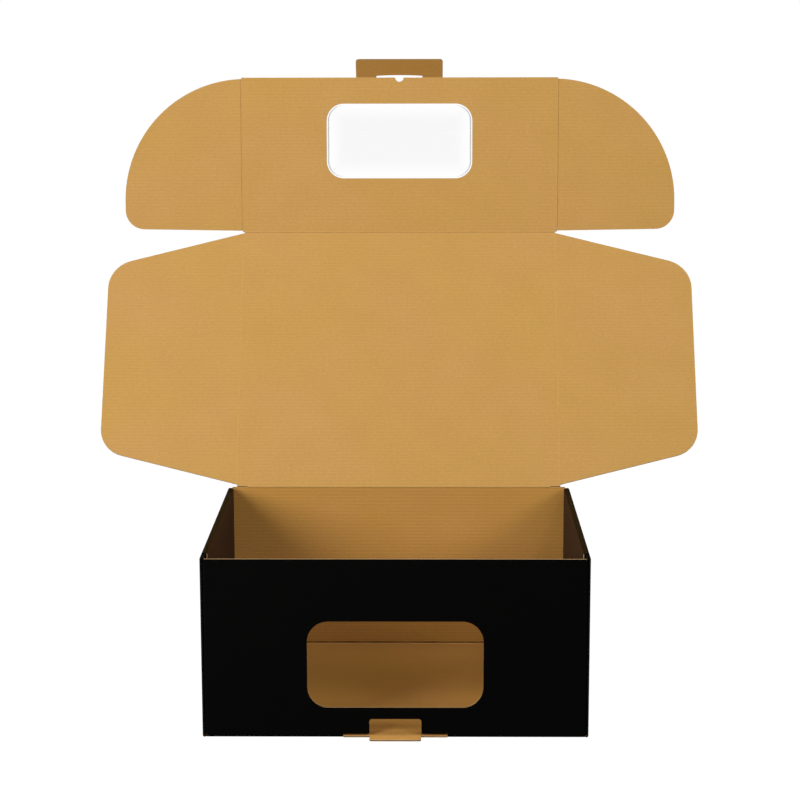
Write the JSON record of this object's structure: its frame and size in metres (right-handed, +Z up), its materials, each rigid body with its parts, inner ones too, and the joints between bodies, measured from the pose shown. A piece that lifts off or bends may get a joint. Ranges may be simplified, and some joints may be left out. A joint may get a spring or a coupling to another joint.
{
  "type": "folding tray box",
  "caption": "Corrugated tray box with a fold-over lid: side flaps, tuck panel with ears and a lock tab all fold; windows in the tuck panel and front wall; black outside, kraft inside.",
  "frame": {"origin": "on the floor under the middle of the tray's base", "axes": "+X to the right seen from the front, -Y out of the front wall, +Z up"},
  "size_m": [0.5834, 0.42, 0.566],
  "materials": {
    "tray_board": "matt black outer liner, bare kraft inner liner, fluted cut edges",
    "lid_board": "bare kraft inner liner, matt black outer liner, fluted cut edges",
    "film": "thin clear plastic film"
  },
  "bodies": {
    "tray": {"tray": "tray_board"},
    "lid": {"lid": "lid_board"},
    "flap_left": {"lid_flap_left": "lid_board"},
    "flap_right": {"lid_flap_right": "lid_board"},
    "tuck": {"tuck_panel": "lid_board", "window_film": "film"},
    "ear_left": {"tuck_ear_left": "lid_board"},
    "ear_right": {"tuck_ear_right": "lid_board"},
    "tab": {"lock_tab": "lid_board"},
    "tongue": {"lock_tongue": "lid_board"}
  },
  "joints": [
    {"name": "lid_hinge", "type": "hinge", "parent": "tray", "child": "lid", "pos_m": [0, 0.1348, 0.15915], "axis": [1, 0, 0], "range_deg": [-61.2, 118.8]},
    {"name": "flap_left_crease", "type": "hinge", "parent": "lid", "child": "flap_left", "pos_m": [-0.1567, 0.1348, 0.15915], "axis": [0, 0.4818, 0.8763], "range_deg": [0, 90]},
    {"name": "flap_right_crease", "type": "hinge", "parent": "lid", "child": "flap_right", "pos_m": [0.1567, 0.1348, 0.15915], "axis": [0, -0.4818, -0.8763], "range_deg": [0, 90]},
    {"name": "tuck_crease", "type": "hinge", "parent": "lid", "child": "tuck", "pos_m": [0, 0.26367, 0.39356], "axis": [1, 0, 0], "range_deg": [-26.8, 63.2]},
    {"name": "ear_left_crease", "type": "hinge", "parent": "tuck", "child": "ear_left", "pos_m": [-0.15835, 0.26367, 0.39356], "axis": [0, 0.0349, 0.9994], "range_deg": [0, 90]},
    {"name": "ear_right_crease", "type": "hinge", "parent": "tuck", "child": "ear_right", "pos_m": [0.15835, 0.26367, 0.39356], "axis": [0, -0.0349, -0.9994], "range_deg": [0, 90]},
    {"name": "tab_crease", "type": "hinge", "parent": "tuck", "child": "tab", "pos_m": [0, 0.26905, 0.54757], "axis": [1, 0, 0], "range_deg": [-123, 57]},
    {"name": "tongue_crease", "type": "hinge", "parent": "tray", "child": "tongue", "pos_m": [0, -0.1348, 0.0012], "axis": [-1, 0, 0], "range_deg": [-5, 85]}
  ]
}
